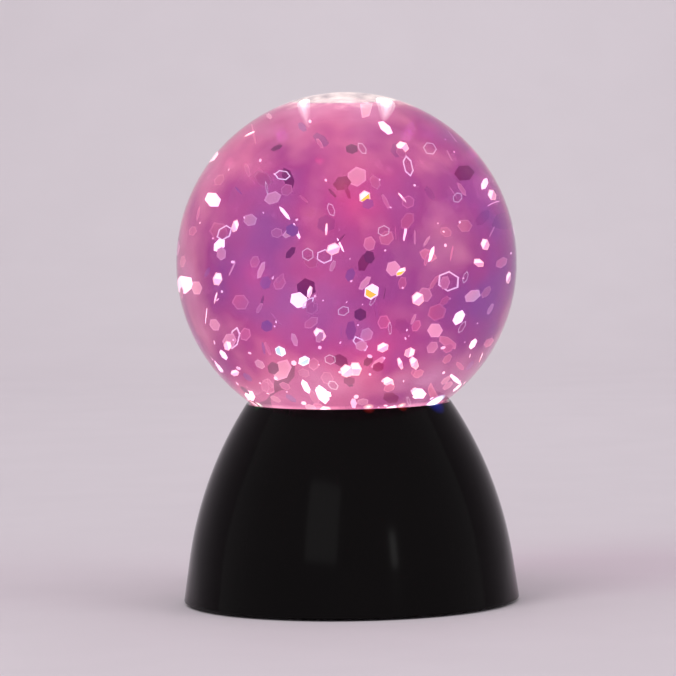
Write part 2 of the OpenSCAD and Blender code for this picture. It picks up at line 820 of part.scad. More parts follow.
golden_angle = 137.508;
flake_r = flake_w / 2 / cos(30);
fill_r = globe_in - fill_gap;
flake_margin = 0.5;
settle_lift = 1.4;
settled_r = fill_r - settle_lift;
settled_from_angle = 116;
settled_to_angle = 152;
float_drop = 0.5;
float_tilt_angle = 8;
float_low = liquid_top - float_drop - flake_r * sin(float_tilt_angle);
cloud_r = settled_r - flake_r - flake_margin;
cloud_top = float_low - globe_z - flake_r - flake_margin;
cloud_floor = globe_z - impeller_z1 - spin_gap - flake_r;
drift_stand_angle = 90;
drift_tilt_angle = 50;
drift_lean_angle = 60;
float_r = sqrt(fill_r * fill_r - pow(liquid_top - globe_z, 2)) - flake_r - flake_margin;

function share(i, k) = let (x = 0.5 + i / pow(1.22074408, k)) x - floor(x);

// Place of a drifting flake: even through the globe, with more of them low down
function drift_place(i) =
    let (
        out = pow(share(i, 1), 1 / 3),
        rise = 1 - 2 * pow(share(i, 2), 0.8),
        reach = rise > 0 ? cloud_top : cloud_floor,
        a = 360 * share(i, 3),
        flat = out * cloud_r * sqrt(1 - rise * rise)
    )
    [flat * cos(a), flat * sin(a), globe_z + out * rise * reach];
// Turn of a drifting flake: about upright, and turned any way round
function drift_turn(i) = [
    drift_stand_angle + drift_tilt_angle * (2 * share(i, 5) - 1),
    drift_lean_angle * (2 * share(i, 7) - 1),
    360 * share(i, 6)
];

// Turn of a flake that lies along the globe's wall, as angle from the top and round the axis:
// a spiral that gives each flake the same share of the wall
function settled_turn(i) =
    let (high = cos(settled_from_angle), low = cos(settled_to_angle))
    [acos(high + (low - high) * (i + 0.5) / settled_count), golden_angle * i];

module flake() {
    cylinder(r = flake_r, h = flake_t, center = true, $fn = 6);
}

module drifting(i) {
    translate(drift_place(i)) rotate(drift_turn(i)) flake();
}

module settled(i) {
    t = settled_turn(i);
    translate([0, 0, globe_z]) rotate([0, t.x, t.y]) translate([0, 0, settled_r]) flake();
}

module floating(i) {
    r = float_r * sqrt((i + 0.5) / floating_count);
    rotate([0, 0, golden_angle * i]) translate([r, 0, liquid_top - float_drop])
        rotate([float_tilt_angle * (2 * share(i, 4) - 1), 0, 0]) flake();
}

// The flakes whose number, counted in tens, lies in the given shares
module flakes(shares) {
    for (i = [0 : drifting_count - 1]) if (search(i % 10, shares)) drifting(i);
    for (i = [0 : settled_count - 1]) if (search(i % 10, shares)) settled(i);
    for (i = [0 : floating_count - 1]) if (search(i % 10, shares)) floating(i);
}

module silver_flakes() { color("#fbeef6") flakes([0, 2, 5, 7, 9]); }
module rose_flakes() { color("#e48fbe") flakes([1, 4, 8]); }
module violet_flakes() { color("#6a2f7c") flakes([3, 6]); }

base_shell();
base_plate();
plate_screws();
rubber_feet();
battery_door();
battery_cells();
battery_springs();
contact_plates();
switch_body();
switch_knob();
motor_deck();
deck_screws();
motor_can();
motor_end_cap();
motor_terminals();
motor_screws();
motor_shaft();
motor_armature();
magnet_carrier();
drive_magnets();
light_board();
board_screws();
driver_chip();
red_leds();
green_leds();
blue_leds();
supply_wires();
return_wire();
motor_wires();
globe_shell();
retaining_ring();
neck_plug();
plug_seal();
impeller_pin();
impeller();
impeller_magnets();
liquid();
silver_flakes();
rose_flakes();
violet_flakes();
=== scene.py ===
"""Glitter ball lamp: a liquid-filled globe of hexagonal flakes on a gloss black base.

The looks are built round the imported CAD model, in its frame: metres, +Z up, the front at -Y.
Lengths below are in millimetres and become metres where a mesh is made.
"""

import math

import bmesh
import bpy
import numpy as np
from mathutils import Matrix, Vector


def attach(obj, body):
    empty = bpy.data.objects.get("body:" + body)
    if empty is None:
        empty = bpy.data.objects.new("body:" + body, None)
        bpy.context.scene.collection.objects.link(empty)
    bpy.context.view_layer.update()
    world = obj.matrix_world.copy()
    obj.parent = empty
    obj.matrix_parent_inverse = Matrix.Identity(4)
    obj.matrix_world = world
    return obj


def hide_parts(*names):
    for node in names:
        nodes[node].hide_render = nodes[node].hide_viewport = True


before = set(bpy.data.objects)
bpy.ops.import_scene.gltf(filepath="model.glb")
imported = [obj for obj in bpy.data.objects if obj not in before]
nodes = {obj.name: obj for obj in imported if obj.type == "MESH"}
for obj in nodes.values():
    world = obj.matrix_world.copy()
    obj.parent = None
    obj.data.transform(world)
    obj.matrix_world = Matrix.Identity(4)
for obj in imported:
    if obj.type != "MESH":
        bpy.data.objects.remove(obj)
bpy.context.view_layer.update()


# Base plate and battery door: mouldings of satin black plastic that close the base from below.
# The plate's middle rises into the battery bay, and four screws hold it to posts in the shell.
BLACK_PLASTIC = (0.017, 0.016, 0.016)


def link(tree, source, target):
    """Joins an output socket to an input socket."""
    tree.links.new(source, target)


def noise(tree, scale, detail=3.0, stretch=(1, 1, 1)):
    """Noise over the piece's own Object coordinates, stretched along the axes; gives its height."""
    place = tree.nodes.new("ShaderNodeTexCoord")
    spread = tree.nodes.new("ShaderNodeMapping")
    spread.inputs["Scale"].default_value = stretch
    cloud = tree.nodes.new("ShaderNodeTexNoise")
    cloud.inputs["Scale"].default_value = scale
    cloud.inputs["Detail"].default_value = detail
    link(tree, place.outputs["Object"], spread.inputs["Vector"])
    link(tree, spread.outputs["Vector"], cloud.inputs["Vector"])
    return cloud.outputs["Fac"]


def ramp(tree, source, *stops):
    """Colour ramp through (position, colour) stops."""
    node = tree.nodes.new("ShaderNodeValToRGB")
    marks = node.color_ramp.elements
    while len(marks) < len(stops):
        marks.new(0.5)
    for mark, (position, colour) in zip(marks, stops):
        mark.position = position
        mark.color = (*colour, 1)
    link(tree, source, node.inputs["Fac"])
    return node.outputs["Color"]


def spread_range(tree, source, low, high, start=0.3, end=0.7):
    """Straight line from low at start to high at end."""
    node = tree.nodes.new("ShaderNodeMapRange")
    for name, value in (("From Min", start), ("From Max", end), ("To Min", low), ("To Max", high)):
        node.inputs[name].default_value = value
    link(tree, source, node.inputs["Value"])
    return node.outputs["Result"]


def finish(name, colour, rough, grain=900, relief=0.15, drift=0.15, metal=0.0, stretch=(1, 1, 1),
           level=0.5):
    """A moulded or drawn surface: a soft noise moves the colour by the share drift and the roughness by
    about a fifth, and a fine noise raises the surface by relief times a hundredth of a millimetre."""
    material = bpy.data.materials.new(name)
    material.use_nodes = True
    tree = material.node_tree
    shader = tree.nodes["Principled BSDF"]
    shader.inputs["Metallic"].default_value = metal
    shader.inputs["Specular IOR Level"].default_value = level
    soft = noise(tree, grain / 12, 2, stretch)
    darker, paler = ([c * (1 + side * drift) for c in colour] for side in (-1, 1))
    link(tree, ramp(tree, soft, (0.3, darker), (0.7, paler)), shader.inputs["Base Color"])
    link(tree, spread_range(tree, soft, rough * 0.85, rough * 1.2), shader.inputs["Roughness"])
    bump = tree.nodes.new("ShaderNodeBump")
    bump.inputs["Strength"].default_value = 0.6
    bump.inputs["Distance"].default_value = relief * 1e-5
    link(tree, noise(tree, grain, 4, stretch), bump.inputs["Height"])
    link(tree, bump.outputs["Normal"], shader.inputs["Normal"])
    return material


def wear(material, *names):
    """Gives CAD nodes a material in place of their packed one."""
    for name in names:
        nodes[name].data.materials.clear()
        nodes[name].data.materials.append(material)


satin_black = finish("satin_black", BLACK_PLASTIC, 0.42, grain=2200, relief=1.2, drift=0.2)
wear(satin_black, "base_plate", "battery_door")

# Screws: zinc-plated steel with a cross recess. The plate's four show from below,
# and smaller ones hold the motor, its deck and the light board inside.
zinc_steel = finish("zinc_steel", (0.52, 0.53, 0.55), 0.32, grain=1500, relief=0.4, drift=0.1, metal=1.0)
wear(zinc_steel, "plate_screws", "deck_screws", "board_screws", "motor_screws")

# Rubber feet: four soft discs pressed into round pockets of the plate,
# with a rounded lower edge and a faint grip pattern.
MM = 0.001
EDGE_Z = 0.8
PLATE_Z = 2.8
FOOT_R, FOOT_H, FOOT_ORBIT = 5.0, 1.6, 40.631
FOOT_ANGLES = (30, 150, 210, 330)
FOOT_GROOVES = ((1.6, 2.4), (3.3, 4.1))
GROOVE_DEPTH, GROOVE_SLOPE = 0.12, 0.2


def corner(before, at, after, size, steps=5):
    """Quadratic curve that rounds a corner: it leaves the line before-at and joins the line at-after,
    each at the distance size from the corner."""
    before, at, after = (np.array(p, float) for p in (before, at, after))
    a = at + (before - at) / np.linalg.norm(before - at) * size
    b = at + (after - at) / np.linalg.norm(after - at) * size
    t = np.linspace(0, 1, steps)[:, None]
    return (1 - t) ** 2 * a + 2 * t * (1 - t) * at + t ** 2 * b


def lathe(profile, sides):
    """Grid of a turned form: (r, z) at the angle a goes to (r cos a, r sin a, z)."""
    r, z = np.asarray(profile, float).T
    a = np.linspace(0, 2 * np.pi, sides, endpoint=False)
    heights = np.repeat(z[:, None], sides, 1)
    return np.stack([np.outer(r, np.cos(a)), np.outer(r, np.sin(a)), heights], -1)


def patch(grid, wrap_u=False, wrap_v=True, start=0):
    """Four-sided faces between the neighbours of a grid (u, v), joined end to end where it wraps."""
    nu, nv = grid.shape[:2]
    across = np.arange(nu if wrap_u else nu - 1)
    around = np.arange(nv if wrap_v else nv - 1)
    i, j = (index.ravel() for index in np.meshgrid(across, around, indexing="ij"))
    i2, j2 = (i + 1) % nu, (j + 1) % nv
    return np.stack([i * nv + j, i * nv + j2, i2 * nv + j2, i2 * nv + j], 1) + start


def turned(angle, points):
    """Points turned about the lamp's axis, in degrees."""
    c, s = math.cos(math.radians(angle)), math.sin(math.radians(angle))
    return points @ np.array([[c, s, 0], [-s, c, 0], [0, 0, 1]])


def piece(name, grids, material, body, replaced, crease=35):
    """One object from grids given as (points, wrap_u, wrap_v): welded, turned outwards, and smooth
    where its faces meet below the crease angle."""
    points, faces, count = [], [], 0
    for grid, wrap_u, wrap_v in grids:
        faces.append(patch(grid, wrap_u, wrap_v, count))
        points.append(grid.reshape(-1, 3) * MM)
        count += grid.shape[0] * grid.shape[1]
    mesh = bpy.data.meshes.new(name)
    mesh.from_pydata(np.concatenate(points), [], np.concatenate(faces))
    shape = bmesh.new()
    shape.from_mesh(mesh)
    bmesh.ops.remove_doubles(shape, verts=shape.verts, dist=2e-6)
    bmesh.ops.recalc_face_normals(shape, faces=shape.faces)
    shape.to_mesh(mesh)
    shape.free()
    mesh.polygons.foreach_set("use_smooth", np.ones(len(mesh.polygons), bool))
    mesh.set_sharp_from_angle(angle=math.radians(crease))
    mesh.materials.append(material)
    return placed(name, mesh, body, replaced)


def placed(name, mesh, body, replaced):
    """Links a mesh as an object that rides on a body in place of CAD nodes."""
    thing = bpy.data.objects.new(name, mesh)
    bpy.context.scene.collection.objects.link(thing)
    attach(thing, body)
    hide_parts(*replaced)
    return thing


grooves = [[(start, 0), (start + GROOVE_SLOPE, GROOVE_DEPTH), (end - GROOVE_SLOPE, GROOVE_DEPTH), (end, 0)]
           for start, end in FOOT_GROOVES]
foot_profile = np.concatenate([
    [(0, 0)], *grooves,
    corner((0, 0), (FOOT_R, 0), (FOOT_R, FOOT_H), 0.5),
    corner((FOOT_R, 0), (FOOT_R, FOOT_H), (0, FOOT_H), 0.2),
    [(0, FOOT_H)],
])
foot = lathe(foot_profile, 64) + (FOOT_ORBIT, 0, 0)
soft_rubber = finish("soft_rubber", (0.030, 0.028, 0.028), 0.75, grain=1800, relief=1.5, drift=0.25)
piece("rubber_feet_soft", [(turned(a, foot), False, True) for a in FOOT_ANGLES], soft_rubber,
      "base", ["rubber_feet"])

# Battery cells: three standard cells side by side, each next one turned end for end.
# A printed sleeve wraps each can, with bare metal at the button and at the flat end.
CELL_D, CELL_L, CELL_GAP = 14.5, 50.5, 0.4
CELL_PITCH = CELL_D + CELL_GAP
CELL_Z = PLATE_Z + CELL_GAP + CELL_D / 2
BAY_HALF = 28.15
CONTACT_T = 0.4
CELLS = ((-1, 1), (0, -1), (1, 1))
BUTTON_R, BUTTON_H, CELL_ROUND = 2.75, 1.0, 0.7
SLEEVE_GREEN, SLEEVE_GOLD, BARE_CAN = (0.02, 0.12, 0.055), (0.70, 0.52, 0.16), (0.62, 0.63, 0.65)
SLEEVE_HALF = 0.0278


def along_y(points, column, way):
    """A form turned about Z laid along the bay: its foot at the contact, its top towards the other end."""
    x, y, z = np.moveaxis(points, -1, 0)
    return np.stack([column * CELL_PITCH + x * way, way * (BAY_HALF - CONTACT_T - z), CELL_Z + y], -1)


def along(tree, axis):
    """Where each point of the piece lies along one of its own axes."""
    place = tree.nodes.new("ShaderNodeTexCoord")
    apart = tree.nodes.new("ShaderNodeSeparateXYZ")
    link(tree, place.outputs["Object"], apart.inputs[0])
    return apart.outputs[axis]


r = CELL_D / 2
cell_profile = np.concatenate([
    [(0, 0)], corner((0, 0), (BUTTON_R, 0), (BUTTON_R, BUTTON_H), 0.3),
    [(BUTTON_R, BUTTON_H), (4.6, BUTTON_H), (4.8, 1.35), (6.1, 1.35)],
    corner((6.1, BUTTON_H), (r, BUTTON_H), (r, 9), CELL_ROUND), [(r, 4), (r, 14), (r, 30), (r, 48)],
    corner((r, 30), (r, CELL_L), (0, CELL_L), CELL_ROUND),
    [(5.8, CELL_L), (5.6, CELL_L - 0.25), (0, CELL_L - 0.25)],
])
cell = lathe(cell_profile, 72)
sleeve = finish("cell_sleeve_print", SLEEVE_GREEN, 0.24, grain=700, relief=0.3, drift=0.12, metal=0.35)
tree = sleeve.node_tree
shader = tree.nodes["Principled BSDF"]
bands = [(-1, BARE_CAN), (-0.945, SLEEVE_GREEN), (-0.30, SLEEVE_GREEN), (-0.29, SLEEVE_GOLD),
         (0.30, SLEEVE_GOLD), (0.31, SLEEVE_GREEN), (0.945, SLEEVE_GREEN), (1, BARE_CAN)]
share_y = spread_range(tree, along(tree, "Y"), 0, 1, -SLEEVE_HALF, SLEEVE_HALF)
band_node = ramp(tree, share_y, *[((1 + y) / 2, colour) for y, colour in bands])
band_node.node.color_ramp.interpolation = "CONSTANT"
link(tree, band_node, shader.inputs["Base Color"])
piece("battery_cells_sleeved", [(along_y(cell, column, way), False, True) for column, way in CELLS],
      sleeve, "base", ["battery_cells"])

# Battery contacts: stamped nickel-plated plates that stand in slots at both ends of the bay,
# with a tapered coil spring on each negative one.
SPRING_WIRE, SPRING_L, SPRING_TURNS = 0.7, 5.0, 3
SPRING_WIDE, SPRING_NARROW, SPRING_CLEAR = 4.6, 2.4, 0.1
nickel = finish("nickel_plate", (0.70, 0.68, 0.64), 0.22, grain=1200, relief=0.3, drift=0.08, metal=1.0)
wear(nickel, "contact_plates")
t = np.linspace(0, 1, 28 * SPRING_TURNS)[:, None]
round_wire = np.linspace(0, 2 * np.pi, 14, endpoint=False)[None, :]
coil_r = SPRING_WIDE + (SPRING_NARROW - SPRING_WIDE) * t + SPRING_WIRE / 2 * np.cos(round_wire)
coil_z = SPRING_WIRE / 2 + SPRING_CLEAR + (SPRING_L - SPRING_WIRE - 2 * SPRING_CLEAR) * t \
    + SPRING_WIRE / 2 * np.sin(round_wire)
coil_a = 2 * np.pi * SPRING_TURNS * t
coil = np.stack([coil_r * np.cos(coil_a), coil_r * np.sin(coil_a), coil_z], -1)
ends = [np.repeat(coil[k].mean(0)[None, None], coil.shape[1], 1) for k in (0, -1)]
coil = np.concatenate([ends[0], coil, ends[1]])
piece("battery_springs_wound", [(along_y(coil, column, -way), False, True) for column, way in CELLS],
      nickel, "base", ["battery_springs"], crease=60)

# Slide switch: a folded steel case behind the plate, and a black knob that reaches through a slot.
# The knob's face has ridges across its travel, for a fingernail.
SWITCH_X = 31.365
KNOB_W, KNOB_L, KNOB_Z = 3.2, 3.6, 0.35
KNOB_FOOT_W, KNOB_FOOT_L, KNOB_FOOT_Z, KNOB_FOOT_H = 5.0, 5.0, 3.1, 2.0
KNOB_Y = -2.0
RIDGES, RIDGE_H = 3, 0.16
switch_steel = finish("switch_steel", (0.58, 0.59, 0.61), 0.3, grain=1400, relief=0.4, metal=1.0,
                      stretch=(1, 1, 8))
wear(switch_steel, "switch_body")


def bar(outline, x0, x1):
    """A closed outline in (y, z) carried straight along X, its ends closed on their middles."""
    outline = np.asarray(outline, float)
    middle = np.repeat(outline.mean(0)[None], len(outline), 0)
    rows = [(x0, middle), (x0, outline), (x1, outline), (x1, middle)]
    return np.stack([np.column_stack([np.full(len(loop), SWITCH_X + x), loop[:, 0] + KNOB_Y, loop[:, 1]])
                     for x, loop in rows])


y = np.linspace(-KNOB_L / 2, KNOB_L / 2, 37)
ridge = KNOB_Z + RIDGE_H * (0.5 - 0.5 * np.cos(2 * np.pi * RIDGES * (y / KNOB_L + 0.5)))
grip = np.concatenate([np.column_stack([y, ridge]),
                       [(KNOB_L / 2, KNOB_FOOT_Z + 1), (-KNOB_L / 2, KNOB_FOOT_Z + 1)]])
z0, z1 = KNOB_FOOT_Z, KNOB_FOOT_Z + KNOB_FOOT_H
h = KNOB_FOOT_L / 2
block = [(-h, z0), (h, z0), (h, z1), (-h, z1)]
piece("switch_knob_ridged", [(bar(grip, -KNOB_W / 2, KNOB_W / 2), False, True),
                             (bar(block, -KNOB_FOOT_W / 2, KNOB_FOOT_W / 2), False, True)],
      satin_black, "switch", ["switch_knob"])

# Motor drive: a flat can motor hangs under a black deck, and its shaft turns a white carrier
# with two magnets. All of it is closed in, so the CAD solids carry the finishes.
inner_black = finish("inner_black", (0.03, 0.029, 0.03), 0.5, grain=1500, relief=0.8, drift=0.2)
inner_white = finish("inner_white", (0.72, 0.70, 0.65), 0.4, grain=1300, relief=0.5, drift=0.05)
shaft_steel = finish("shaft_steel", (0.66, 0.67, 0.69), 0.18, grain=1600, metal=1.0, drift=0.06,
                     stretch=(1, 1, 6))
magnet_nickel = finish("magnet_nickel", (0.56, 0.57, 0.59), 0.15, grain=800, metal=1.0, drift=0.06)
motor_steel = finish("motor_steel", (0.60, 0.61, 0.63), 0.3, grain=1500, metal=1.0, stretch=(1, 1, 0.1))
winding_copper = finish("winding_copper", (0.56, 0.22, 0.09), 0.3, grain=2600, relief=3, metal=1.0,
                        stretch=(1, 1, 0.2))
wear(inner_black, "motor_deck", "retaining_ring")
wear(inner_white, "motor_end_cap", "magnet_carrier", "neck_plug", "impeller")
wear(motor_steel, "motor_can")
wear(finish("terminal_brass", (0.74, 0.52, 0.20), 0.25, grain=1200, metal=1.0), "motor_terminals")
wear(winding_copper, "motor_armature")
wear(shaft_steel, "motor_shaft", "impeller_pin")
wear(magnet_nickel, "drive_magnets", "impeller_magnets")
wear(finish("seal_rubber", (0.38, 0.06, 0.045), 0.6, grain=1800, relief=1.0), "plug_seal")

# Light board: a green circuit ring screwed under the shelf, with its chip
# and the sleeved wires that run to the cells, the switch and the motor.
wear(finish("board_green", (0.02, 0.14, 0.05), 0.35, grain=1900, relief=0.6, drift=0.3), "light_board")
wear(finish("chip_black", (0.018, 0.018, 0.02), 0.55, grain=2600, relief=1.0), "driver_chip")
for node_name, colour in (("supply_wires", (0.46, 0.02, 0.025)), ("return_wire", (0.016, 0.016, 0.016)),
                          ("motor_wires", (0.62, 0.40, 0.05))):
    wear(finish(node_name + "_sleeve", colour, 0.35, grain=1600, relief=0.4), node_name)

# Light diodes: six epoxy domes that stand through the shelf, a pair of each colour.
# The lamp is shown switched on, so each glows, whitest at its tip.
LED_R, LED_FLANGE_R, LED_H = 2.5, 2.9, 8.6
LED_ORBIT = 25.9
LED_FOOT_Z = 41.3
LED_FLANGE_H, LED_CHAMFER = 1.0, 0.1
LED_GLOW = 12.0
dome_a = np.linspace(0, np.pi / 2, 14)
led_profile = np.concatenate([
    [(0, 0), (LED_FLANGE_R - LED_CHAMFER, 0), (LED_FLANGE_R, LED_CHAMFER),
     (LED_FLANGE_R, LED_FLANGE_H - LED_CHAMFER), (LED_FLANGE_R - LED_CHAMFER, LED_FLANGE_H),
     (LED_R, LED_FLANGE_H)],
    np.column_stack([LED_R * np.cos(dome_a), LED_H - LED_R + LED_R * np.sin(dome_a)]),
])
led = lathe(led_profile, 40) + (LED_ORBIT, 0, LED_FOOT_Z)
for tone, angle, colour in (("red", -60, (1.0, 0.05, 0.10)), ("green", 60, (0.25, 1.0, 0.35)),
                            ("blue", 0, (0.22, 0.32, 1.0))):
    epoxy = bpy.data.materials.new("led_" + tone + "_lit")
    epoxy.use_nodes = True
    tree = epoxy.node_tree
    shader = tree.nodes["Principled BSDF"]
    shader.inputs["Roughness"].default_value = 0.08
    tip = spread_range(tree, along(tree, "Z"), 0, 1, LED_FOOT_Z * MM, (LED_FOOT_Z + LED_H) * MM)
    dim, dark, pale = ([base + part * c for c in colour] for base, part in ((0, 0.3), (0, 0.1), (0.5, 0.5)))
    link(tree, ramp(tree, tip, (0.2, dim), (0.8, colour)), shader.inputs["Base Color"])
    link(tree, ramp(tree, tip, (0.2, dark), (0.7, colour), (1.0, pale)), shader.inputs["Emission Color"])
    shader.inputs["Emission Strength"].default_value = LED_GLOW
    piece(tone + "_leds_lit", [(turned(angle + half, led), False, True) for half in (0, 180)], epoxy,
          "base", [tone + "_leds"])

# Base shell: one gloss black moulding. A straight drafted wall runs into a long curve up to a sharp rim,
# where a lip carries the globe. Inside, a shelf with six light holes takes the globe's collar.
BASE_R, BASE_H, RIM_R, RIM_IN = 49.4, 59.0, 30.0, 29.0
DRAFT, BEND_Z, WALL, LIP_H = math.radians(8.4), 13.0, 2.2, 2.0
SHELF_Z0, SHELF_Z1 = 44.7, 46.7
GLOBE_R, GLOBE_WALL, SEAT_GAP = 50.0, 1.6, 0.15
GLOBE_Z = BASE_H + math.sqrt((GLOBE_R + SEAT_GAP) ** 2 - RIM_IN ** 2)
NECK_R, NECK_HOLE_R, LED_HOLE_R = 17.0, 17.2, 2.7
SIDES = 192
bend_r = BASE_R - (BEND_Z - EDGE_Z) * math.tan(DRAFT)
rise, inset = BASE_H - BEND_Z, bend_r - RIM_R
arc_r = (inset ** 2 + rise ** 2) / (2 * (inset * math.cos(DRAFT) - rise * math.sin(DRAFT)))
arc_x, arc_z = bend_r - arc_r * math.cos(DRAFT), BEND_Z - arc_r * math.sin(DRAFT)


def wall(z, depth=0.0):
    """Radius of the base's wall at the height z, taken inward by depth: a straight draft, then the arc
    tangent to it."""
    z = np.asarray(z, float)
    straight = BASE_R - (z - EDGE_Z) * math.tan(DRAFT) - depth / math.cos(DRAFT)
    curved = arc_x + np.sqrt((arc_r - depth) ** 2 - (z - arc_z) ** 2)
    return np.where(z < BEND_Z - depth * math.sin(DRAFT), straight, curved)


def up(z0, z1, count, depth=0.0):
    """Points of the wall from one height to another."""
    z = np.linspace(z0, z1, count)
    return np.column_stack([wall(z, depth), z])


def seat(z):
    """Point of the globe's seat at the height z: on a ball just larger than the globe."""
    return math.sqrt((GLOBE_R + SEAT_GAP) ** 2 - (GLOBE_Z - z) ** 2), z


seat_points = [seat(z) for z in np.linspace(BASE_H, BASE_H - LIP_H, 8)]
foot_in, foot_out = (float(wall(EDGE_Z, WALL)), EDGE_Z), (BASE_R, EDGE_Z)
skin_profile = np.concatenate([
    up(SHELF_Z0, EDGE_Z + 0.6, 30, WALL),
    corner(up(EDGE_Z + 1, EDGE_Z + 1, 1, WALL)[0], foot_in, foot_out, 0.3),
    corner(foot_in, foot_out, up(EDGE_Z + 1, EDGE_Z + 1, 1)[0], 0.45, 7),
    up(EDGE_Z + 1, BASE_H - 0.6, 90),
    corner(up(BASE_H - 1, BASE_H - 1, 1)[0], (RIM_R, BASE_H), (RIM_IN, BASE_H), 0.3, 7),
    corner((RIM_R, BASE_H), seat_points[0], seat_points[1], 0.15), seat_points[1:],
    up(BASE_H - LIP_H, SHELF_Z1, 16, WALL),
])


def pierced(r0, r1, z):
    """A flat ring cut in six sectors, each a web between its outline and a round hole: both loops have
    their points at the same angles seen from the hole, and the web runs straight between them."""
    a = np.radians(np.linspace(-30, 30, SIDES // 6 + 1))
    s = np.linspace(0, 1, 9)[1:-1]
    edge = np.concatenate([
        np.column_stack([r1 * np.cos(a), r1 * np.sin(a)]),
        np.outer(r1 + (r0 - r1) * s, [math.cos(a[-1]), math.sin(a[-1])]),
        np.column_stack([r0 * np.cos(a[::-1]), r0 * np.sin(a[::-1])]),
        np.outer(r0 + (r1 - r0) * s, [math.cos(a[0]), math.sin(a[0])]),
    ])
    off = edge - (LED_ORBIT, 0)
    hole = (LED_ORBIT, 0) + LED_HOLE_R * off / np.linalg.norm(off, axis=1)[:, None]
    web = hole + (edge - hole) * np.linspace(0, 1, 4)[:, None, None]
    return np.concatenate([web, np.full(web.shape[:2] + (1,), z)], -1)


top = pierced(NECK_HOLE_R, float(wall(SHELF_Z1, WALL)), SHELF_Z1)
bottom = pierced(NECK_HOLE_R, float(wall(SHELF_Z0, WALL)), SHELF_Z0)
holes = np.stack([top[0], bottom[0]])
shell_grids = [(lathe(skin_profile, SIDES), False, True),
               (lathe([(NECK_HOLE_R, SHELF_Z1), (NECK_HOLE_R, SHELF_Z0)], SIDES), False, True)]
shell_grids += [(turned(60 * k, web), False, True) for k in range(6) for web in (top, bottom, holes)]


def boss(radius, hole_r, z0, z1, hole_top, orbit):
    """A screw boss: a post with a blind hole that opens downward."""
    hole = [(0, hole_top), (hole_r, hole_top), (hole_r, z0)]
    post = [(radius, z0), (radius, z1), (0, z1)]
    return lathe(hole + post, 40) + (orbit, 0, 0)


BOSS_TOP = SHELF_Z0 + 1
plate_boss = boss(radius=3.7, hole_r=1.55, z0=PLATE_Z, z1=15.8, hole_top=12.8, orbit=42.381)
deck_boss = boss(radius=3.2, hole_r=1.05, z0=35.3, z1=BOSS_TOP, hole_top=42.3, orbit=33.6)
board_boss = boss(radius=2.4, hole_r=1.05, z0=LED_FOOT_Z, z1=BOSS_TOP, hole_top=46.2, orbit=LED_ORBIT)
for angles, form in (((0, 90, 180, 270), plate_boss), ((90, 210, 330), deck_boss),
                     ((30, 150, 270), board_boss)):
    shell_grids += [(turned(a, form), False, True) for a in angles]

DARK = (0, 0, 0)
# Painted light of the diodes at the rim: each flare is a spark colour painted into the globe's wall at its
# seat and a halo colour painted into the base's gloss just below, with its angle and its size.
RED_FLARE = ((1.9, 1.2, 0.9), (0.36, 0.014, 0.010))
GREEN_FLARE = ((1.3, 1.8, 1.4), (0.010, 0.12, 0.035))
BLUE_FLARE = ((2.9, 4.3, 4.9), (0.006, 0.016, 0.42))
FLARES = ((-32, BLUE_FLARE, 3.8), (-59, RED_FLARE, 1.5), (-79, RED_FLARE, 1.7), (28, GREEN_FLARE, 1.6),
          (88, RED_FLARE, 1.5), (148, BLUE_FLARE, 3.8), (-152, GREEN_FLARE, 1.6))


def added(tree, a, b):
    """Sum of two colours."""
    node = tree.nodes.new("ShaderNodeVectorMath")
    link(tree, a, node.inputs[0])
    link(tree, b, node.inputs[1])
    return node.outputs["Vector"]


def scaled(tree, colour, factor):
    """A colour times a value."""
    node = tree.nodes.new("ShaderNodeVectorMath")
    node.operation = "SCALE"
    link(tree, colour, node.inputs[0])
    link(tree, factor, node.inputs["Scale"])
    return node.outputs["Vector"]


def plus_part(tree, a, b, part):
    """The value a plus a fixed part of the value b."""
    node = tree.nodes.new("ShaderNodeMath")
    node.operation = "MULTIPLY_ADD"
    node.inputs[1].default_value = part
    link(tree, b, node.inputs[0])
    link(tree, a, node.inputs[2])
    return node.outputs["Value"]


def glow_spots(tree, marks):
    """Sum of round glows given as (angle, distance from the axis, height, size, colour): each is full
    in its middle and fades to nothing at its size."""
    place = tree.nodes.new("ShaderNodeTexCoord")
    total = None
    for angle, out, z, size, colour in marks:
        away = tree.nodes.new("ShaderNodeVectorMath")
        away.operation = "DISTANCE"
        away.inputs[1].default_value = turned(angle, np.array([out, 0, z])) * MM
        link(tree, place.outputs["Object"], away.inputs[0])
        near = spread_range(tree, away.outputs["Value"], 1, 0, 0, size * MM)
        glow = ramp(tree, near, (0, DARK), (0.5, [0.3 * c for c in colour]), (1, colour))
        total = glow if total is None else added(tree, total, glow)
    return total


gloss_black = finish("gloss_black", (0.0026, 0.0020, 0.0021), 0.12, grain=420, relief=0.35, drift=0.1,
                     level=0.06)
tree = gloss_black.node_tree
shader = tree.nodes["Principled BSDF"]
# Painted light: coloured halos glow in the base's gloss just under the rim, below each flare.
halos = [(a, RIM_R, BASE_H + 0.4 * size, 1.25 * size, halo) for a, (_, halo), size in FLARES]
link(tree, glow_spots(tree, halos), shader.inputs["Emission Color"])
shader.inputs["Emission Strength"].default_value = 1.0
base_shell = piece("base_shell_gloss", shell_grids, gloss_black, "base", ["base_shell"],
                   crease=28)

# Globe: a clear blown ball with a short neck. Its collar stands on the shelf, a ring under the shelf
# pulls the neck down, and a plug with a rubber ring closes it. Light from the diodes is painted into its
# wall
# as glow: a pink line where it catches the seat, sparks over the flares, pink patches where the red ones'
# light shows, and a white crown above the liquid's level.
NECK_IN, NECK_Z0, COLLAR_R, COLLAR_T = 15.4, 41.3, 20.0, 1.5
GLOBE_IN = GLOBE_R - GLOBE_WALL
LIQUID_TOP = GLOBE_Z + GLOBE_IN - 2.9


def ball(radius, r0, r1, count, upper=False):
    """Points of a circle about the globe's middle, evenly by angle, between two distances from the axis
    on its lower half, or from the top pole down to r1 on the lower half."""
    low = np.pi - np.arcsin(np.array([r0, r1]) / radius)
    a = np.linspace(0 if upper else low[0], low[1], count)
    return np.column_stack([radius * np.sin(a), GLOBE_Z + radius * np.cos(a)])


